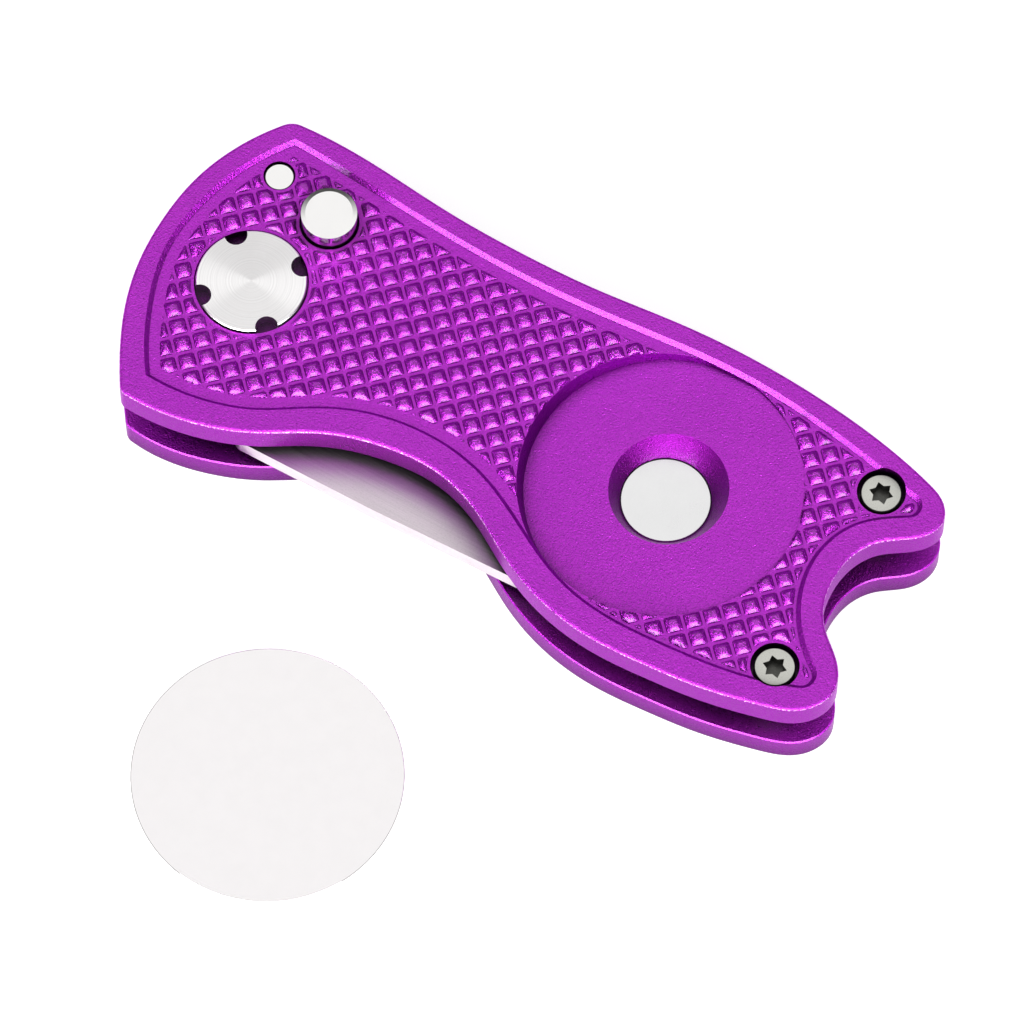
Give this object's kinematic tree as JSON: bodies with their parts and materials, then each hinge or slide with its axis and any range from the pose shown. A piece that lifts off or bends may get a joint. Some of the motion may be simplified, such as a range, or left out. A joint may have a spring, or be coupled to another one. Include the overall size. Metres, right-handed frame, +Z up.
{
  "type": "divot repair tool",
  "caption": "Pocket divot tool whose pronged fork swings out between gripped metal scales, with push-button lock and magnetic seat for a ball marker.",
  "frame": {"origin": "on the fork's pivot axis, in the plane of the lower rim that the tool lies on, at the centre of the lower pivot head", "axes": "+X from the pivot to the notched tail, +Y to the back edge, +Z up out of the face with the marker seat"},
  "size_m": [0.0757, 0.0659, 0.0122],
  "materials": {
    "scale": "bead-blasted and anodised purple, worn bright along the outer edges",
    "fork": "stainless, brushed along its length",
    "pivot_head": "stainless, face-turned with fine rings",
    "bronze": "plain machined bronze",
    "spring_wire": "drawn spring wire",
    "polished_steel": "polished",
    "screw": "satin stainless",
    "magnet": "nickel plated, satin",
    "marker": "mirror polished plating"
  },
  "bodies": {
    "handle": {"top_scale": "scale", "bottom_scale": "scale", "pivot_nut": "pivot_head", "pivot_bolt": "pivot_head", "pivot_bushing": "bronze", "upper_washer": "bronze", "lower_washer": "bronze", "opening_spring": "spring_wire", "button_spring": "spring_wire", "stop_pin": "polished_steel", "upper_tail_screws": "screw", "lower_tail_screws": "screw", "tail_spacers": "screw", "magnet": "magnet"},
    "fork": {"fork": "fork"},
    "button": {"release_button": "polished_steel"},
    "marker": {"ball_marker": "marker"}
  },
  "joints": [
    {"name": "fork_hinge", "type": "hinge", "parent": "handle", "child": "fork", "pos_m": [0, 0, 0.0053], "axis": [0, 0, -1], "range_deg": [0, 180], "deforming": ["opening_spring"]},
    {"name": "button_press", "type": "slide", "parent": "handle", "child": "button", "axis": [0, 0, -1], "range_m": [0, 0.0012], "stiffness_N_per_m": 900, "springref_m": -0.0012, "deforming": ["button_spring"]},
    {"name": "marker_lift", "type": "hinge", "parent": "handle", "child": "marker", "pos_m": [0.03316, -0.01765, 0.00447], "axis": [-0.9067, 0.4213, -0.0193], "range_deg": [0, 176.2]}
  ]
}
